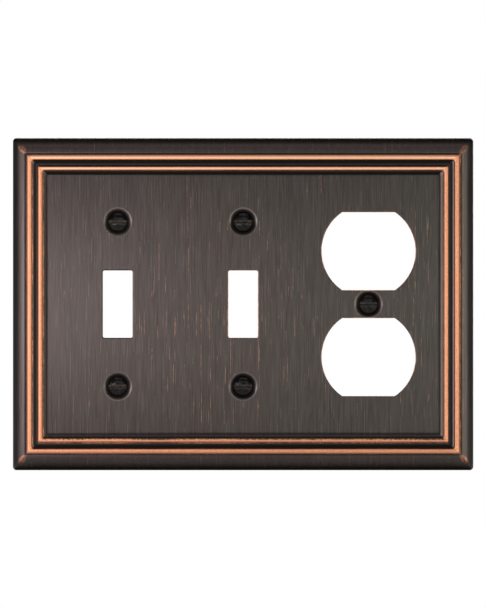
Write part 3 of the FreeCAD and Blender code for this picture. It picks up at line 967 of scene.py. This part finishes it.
def panel_marks(n, x, z, cloud):
    """Scratches down to copper, most of them in two areas, and hairlines everywhere."""
    areas = n.math("MAXIMUM", *[patch(n, x, z, *area) for area in SCRATCHED])
    share = n.math("MULTIPLY", n.step(areas, 0.0, 0.6, 0.12, 0.6),
                   n.step(cloud, 0.3, 0.6, 0.4, 1.0))
    shifted_x, shifted_z = n.math("ADD", x, 31.7), n.math("ADD", z, 11.3)
    marks = n.math("MAXIMUM", scratches(n, x, z, (2.6, 17.0), (0.15, 16.0), share),
                   scratches(n, shifted_x, z, (3.1, 8.0), (0.13, 7.0), share))
    return marks, scratches(n, shifted_x, shifted_z, (1.1, 11.0), (0.12, 11.0), 0.5)


def corner_smears_and_highlights(n, x, z, speck):
    """The smears of copper along the mitres of the band's corners, which are also a painted
    highlight on those corners.
    """
    past_x = n.math("SUBTRACT", n.math("ABSOLUTE", x), HALF_X)
    past_z = n.math("SUBTRACT", n.math("ABSOLUTE", z), HALF_Z)
    smear = patch(n, n.math("ADD", past_x, past_z), n.math("SUBTRACT", past_x, past_z),
                  -7.6, 0.6, 3.2, 1.9)
    return n.math("MULTIPLY", smear, n.step(speck, 0.35, 0.6, 0.1, 0.6))


def copper_colour(n, place, speck, rubbed, wear):
    """Copper that is deeper where it only shows through, and brighter where the wear goes past 1,
    which only the top beads reach: a painted highlight.
    """
    copper = n.mix(n.step(speck, 0.35, 0.65), DEEP_COPPER, COPPER)
    copper = n.mix(n.step(rubbed, 0.3, 0.9), copper, COPPER)
    grain = n.noise(place, (3.2, 3.2, 2.2), 3.0, 0.7)
    copper = n.mix(n.step(grain, 0.4, 0.65, 0.0, 0.5), copper, DEEP_COPPER)
    return n.mix(n.step(wear, 1.0, 1.3), copper, COPPER_HIGHLIGHT)


def sand_cast(n, place, sand):
    """The back, as it came from the sand, under a thin dull coat."""
    dull = n.mix(n.step(n.noise(place, (0.12, 0.12, 0.12), 3.0), 0.3, 0.7), SAND_DARK, SAND_LIGHT)
    return n.mix(n.step(sand, 0.35, 0.75), dull, SAND_PIT)


def cast_bronze(name, stretch):
    """Aged bronze rubbed through to copper. The brushing stretches its highlights upright."""
    n = Nodes(name)
    place = n.place()
    axes = n.add("SeparateXYZ", {0: place})
    x, z = axes.outputs[0], axes.outputs[2]
    fine = n.noise(place, (3.4, 3.4, 0.09), 3.0, 0.6)
    broad = n.noise(place, (0.6, 0.6, 0.03), 2.0)
    cloud = n.noise(place, (0.035, 0.035, 0.03), 2.0)
    speck = n.noise(place, (1.6, 1.6, 0.5), 3.0)
    sand = n.noise(place, (1.7, 1.7, 1.7), 4.0, 0.65)
    streak = n.math("ADD", n.math("MULTIPLY", fine, 0.85), n.math("MULTIPLY", broad, 0.15))
    wear, cast = n.mark("wear"), n.mark("cast")
    marks, hairs = panel_marks(n, x, z, cloud)

    metal = n.mix(n.math("MULTIPLY", hairs, 0.28), brushed_finish(n, x, z, streak), PALE)
    # the copper smears on the corner mitres are partly a painted highlight on those corners
    metal = n.mix(corner_smears_and_highlights(n, x, z, speck), metal, COPPER_SMEAR_AND_HIGHLIGHT)
    rubbed = rubbed_through(n, wear, speck, cloud)
    bare = n.math("MAXIMUM", rubbed,
                  n.math("MULTIPLY", marks, n.step(speck, 0.3, 0.7, 0.12, 0.34)))
    colour = n.mix(bare, metal, copper_colour(n, place, speck, rubbed, wear))
    dark = n.step(n.math("ADD", n.mark("dark"), n.math("MULTIPLY", speck, 0.2)), 0.1, 1.1)
    # the darkest colour: painted shade round the screws and near the sides' outer edges, and darker
    # grooves and edges elsewhere
    colour = n.mix(n.math("MULTIPLY", dark, n.math("SUBTRACT", 1.0, rubbed)), colour, PATINA_AND_SHADE)
    # the pale colour: a painted highlight on the right-hand inner slopes, and partly on the dish
    # lips
    colour = n.mix(n.mark("pale"), colour, PALE)
    colour = n.mix(cast, colour, sand_cast(n, place, sand))

    rough = n.step(streak, 0.25, 0.75, 0.38, 0.46)
    rough = n.math("ADD", rough, n.math("MULTIPLY", bare, 0.14))
    rough = n.math("ADD", rough, n.math("MULTIPLY", n.math("MAXIMUM", cast, dark), 0.2))
    groove = n.math("SUBTRACT", fine, n.math("MULTIPLY", marks, 0.6))
    height = n.math("ADD", n.math("MULTIPLY", groove, n.math("SUBTRACT", 1.0, cast)),
                    n.math("MULTIPLY", n.math("MULTIPLY", sand, 9.0), cast))
    tangent = n.add("Tangent", direction_type="RADIAL", axis="Z").outputs[0]
    return n.finish(Base_Color=colour, Metallic=n.step(cast, 0.0, 1.0, 0.95, 0.45),
                    Roughness=rough, Normal=n.bump(height, 0.012), Anisotropic=stretch,
                    Tangent=tangent)


def screw_bronze():
    """Blackened bronze, with the slot's edges rubbed, a painted highlight on the slot's floor and
    painted shade on its walls.
    """
    n = Nodes("blackened_bronze")
    place = n.place()
    mottle = n.noise(place, (0.9, 0.9, 0.9), 3.0)
    grain = n.noise(place, (6.0, 6.0, 6.0), 3.0, 0.6)
    metal = n.mix(n.step(mottle, 0.3, 0.7), BLACKENED_DARK, BLACKENED_LIGHT)
    worn_and_highlight = n.math("MULTIPLY", n.mark("wear"), n.step(mottle, 0.35, 0.65, 0.3, 0.8))
    # the worn colour: rubbed slot edges, and a painted highlight on the slot's floor
    colour = n.mix(worn_and_highlight, metal, BLACKENED_WORN_AND_HIGHLIGHT)
    # the deepest black: painted shade on the slot's walls, and a darker thread and cone
    colour = n.mix(n.math("MULTIPLY", n.mark("dark"), 0.6), colour, BLACKENED_DEEP_AND_SHADE)
    return n.finish(Base_Color=colour, Metallic=0.85, Normal=n.bump(grain, 0.01),
                    Roughness=n.step(grain, 0.3, 0.7, 0.17, 0.27))


def washer_fibre():
    """Pressed fibre with crossed strands and a paler cut edge."""
    n = Nodes("pressed_fibre")
    place = n.place()
    strands = n.noise(place, (5.0, 5.0, 1.2), 4.0, 0.7)
    cross = n.noise(place, (1.1, 5.0, 5.0), 4.0, 0.7)
    weave = n.math("MAXIMUM", strands, cross)
    blot = n.noise(place, (0.7, 0.7, 0.7), 2.0)
    colour = n.mix(n.step(weave, 0.45, 0.75), FIBRE_DARK, FIBRE_LIGHT)
    colour = n.mix(n.step(blot, 0.45, 0.8, 0.0, 0.5), colour, FIBRE_STAIN)
    colour = n.mix(n.math("MULTIPLY", n.mark("wear"), 0.4), colour, FIBRE_EDGE)
    return n.finish(Base_Color=colour, Roughness=n.step(weave, 0.4, 0.8, 0.92, 0.78),
                    Normal=n.bump(weave, 0.03))


def floor_paint():
    n = Nodes("pale_floor")
    tone = n.noise(n.place(), (0.01, 0.01, 0.01), 2.0)
    return n.finish(Base_Color=n.mix(n.step(tone, 0.3, 0.7), FLOOR_DARK, FLOOR_LIGHT),
                    Roughness=0.85)


# ---------------------------------------------------------------- the scene


# name, place, what it points at, size, watts and colour: two near the panel, two far ones for the
# bands, long ones above and below, and one behind
SOFTBOXES = (
    ("left_near", (-0.14, -0.22, 0), (-0.05, 0, 0), (0.08, 0.05), 0.23, (1, 0.94, 0.96)),
    ("right_near", (0.17, -0.30, 0), (0.04, 0, 0), (0.10, 0.08), 0.165, (0.78, 1, 0.84)),
    ("left_far", (-0.42, -0.36, 0), (-0.03, 0, 0), (0.15, 0.25), 0.50, (1, 0.96, 0.98)),
    ("right_far", (0.42, -0.36, -0.06), (0.03, 0, 0), (0.15, 0.20), 0.66, (1, 0.96, 0.86)),
    ("overhead", (0, -0.35, 0.60), (0, 0, 0), (0.6, 0.3), 0.55, (1, 0.89, 0.84)),
    ("high_strip", (0, -0.55, 0.28), (0, 0, 0), (0.7, 0.12), 0.33, (0.92, 0.92, 1)),
    ("low_strip", (0, -0.55, -0.28), (0, 0, 0), (0.7, 0.12), 0.40, (0.96, 0.90, 1)),
    ("back_softbox", (0.15, 0.90, 0.25), (0, 0, 0), (0.6, 0.6), 5.0, (1, 1, 1)),
)
FLOOR_SOFTBOX = ("floor_light", (0, -0.1, 1.4), (0, -0.1, 0), (1.6, 1.6), 24.0, (1, 1, 1))
AMBIENT = 0.03

CAMERA_PLACE = (-0.00005, -0.8, 0.00005)
VIEW_SIZE = 0.2232

FLOOR_HALF = 2
FLOOR_GAP = 0.0002


def softbox(name, place, towards, size, watts, colour, floor, on_floor):
    """A soft light that leaves the floor out, on_floor EXCLUDE, or lights nothing else, INCLUDE."""
    light = bpy.data.lights.new(name, "AREA")
    light.shape = "RECTANGLE"
    light.size, light.size_y = size
    light.energy = watts
    light.color = colour
    lamp = bpy.data.objects.new(name, light)
    lamp.location = place
    lamp.rotation_euler = (Vector(towards) - Vector(place)).to_track_quat("-Z", "Y").to_euler()
    lamp.visible_camera = False
    bpy.context.scene.collection.objects.link(lamp)
    lit = bpy.data.collections.new(f"{name}_floor")
    lit.objects.link(floor)
    lit.collection_objects[0].light_linking.link_state = on_floor
    lamp.light_linking.receiver_collection = lit


def add_camera():
    """Straight on and without perspective, as in the photograph."""
    camera = bpy.data.cameras.new("camera")
    camera.type = "ORTHO"
    camera.ortho_scale = VIEW_SIZE
    camera.clip_end = 10
    eye = bpy.data.objects.new("camera", camera)
    eye.location = CAMERA_PLACE
    eye.rotation_euler = (math.pi / 2, 0, 0)
    bpy.context.scene.collection.objects.link(eye)
    bpy.context.scene.camera = eye


def add_world():
    """A white backdrop for the camera, which lights the object only a little."""
    world = bpy.data.worlds.new("studio")
    world.use_nodes = True
    tree = world.node_tree
    tree.nodes.clear()
    path = tree.nodes.new("ShaderNodeLightPath")
    mix = tree.nodes.new("ShaderNodeMixShader")
    tree.links.new(path.outputs["Is Camera Ray"], mix.inputs[0])
    for socket, strength in ((mix.inputs[1], AMBIENT), (mix.inputs[2], 1.0)):
        background = tree.nodes.new("ShaderNodeBackground")
        background.inputs[0].default_value = (1, 1, 1, 1)
        background.inputs[1].default_value = strength
        tree.links.new(background.outputs[0], socket)
    output = tree.nodes.new("ShaderNodeOutputWorld")
    tree.links.new(mix.outputs[0], output.inputs[0])
    bpy.context.scene.world = world
    bpy.context.scene.view_settings.view_transform = "Standard"


def add_floor():
    """A pale floor just under the plate. It casts no shadow, so the low light passes it."""
    half, level = FLOOR_HALF, PLATE_LOW.z - FLOOR_GAP
    corners = [(x * half, y * half, level) for x, y in ((-1, -1), (1, -1), (1, 1), (-1, 1))]
    mesh = bpy.data.meshes.new("floor")
    mesh.from_pydata(corners, [], [(0, 1, 2, 3)])
    mesh.materials.append(floor_paint())
    floor = bpy.data.objects.new("floor", mesh)
    floor.visible_shadow = False
    bpy.context.scene.collection.objects.link(floor)
    return floor


draws = random.Random(7)
build_plate([cast_bronze("brushed_bronze", 0.7), cast_bronze("moulded_bronze", 0.0)])
blackened, fibre = screw_bronze(), washer_fibre()
for screw in SCREWS:
    build_screw(screw, blackened)
    build_washer(screw, fibre, draws)

add_camera()
add_world()
stage_floor = add_floor()
for lamp_settings in SOFTBOXES:
    softbox(*lamp_settings, stage_floor, "EXCLUDE")
softbox(*FLOOR_SOFTBOX, stage_floor, "INCLUDE")
